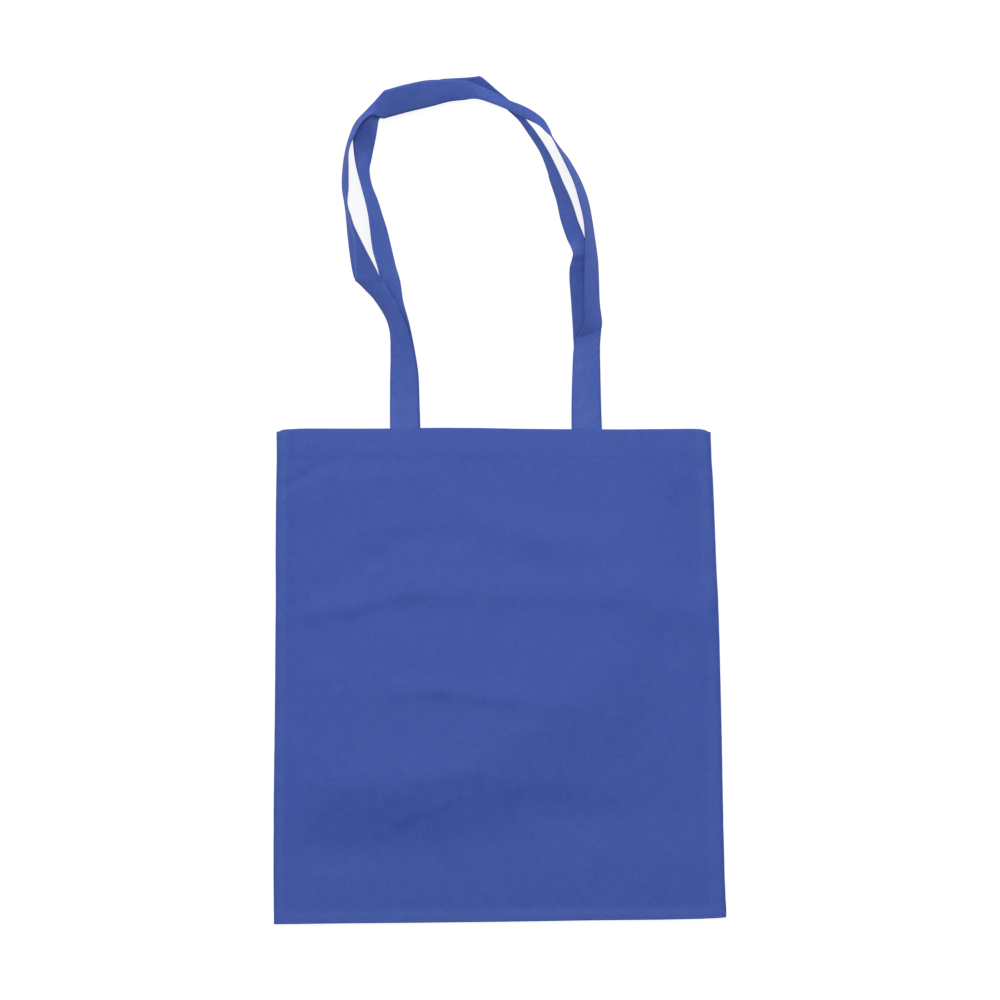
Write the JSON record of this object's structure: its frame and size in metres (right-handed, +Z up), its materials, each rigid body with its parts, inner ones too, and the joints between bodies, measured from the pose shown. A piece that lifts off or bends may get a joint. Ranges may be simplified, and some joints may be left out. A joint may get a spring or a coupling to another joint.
{
  "type": "tote bag",
  "caption": "Soft non-woven plastic carrier bag lying empty on its back, with a turned-in hem at the open mouth and long strap handles lying in a loop.",
  "frame": {"origin": "middle of the whole lying bag and handles seen from above, on the surface that it rests on", "axes": "+Y from the closed bottom to the mouth and on to the handles, +Z up from the resting surface, +X to the right with the front panel on top"},
  "size_m": [0.388, 0.7253, 0.0254],
  "materials": {
    "bag_fabric": "matt embossed non-woven polypropylene, mid blue",
    "handle_fabric": "matt non-woven strap of the same blue"
  },
  "bodies": {
    "root": {"bag_body": "bag_fabric", "front_handle": "handle_fabric", "back_handle": "handle_fabric"}
  },
  "joints": []
}
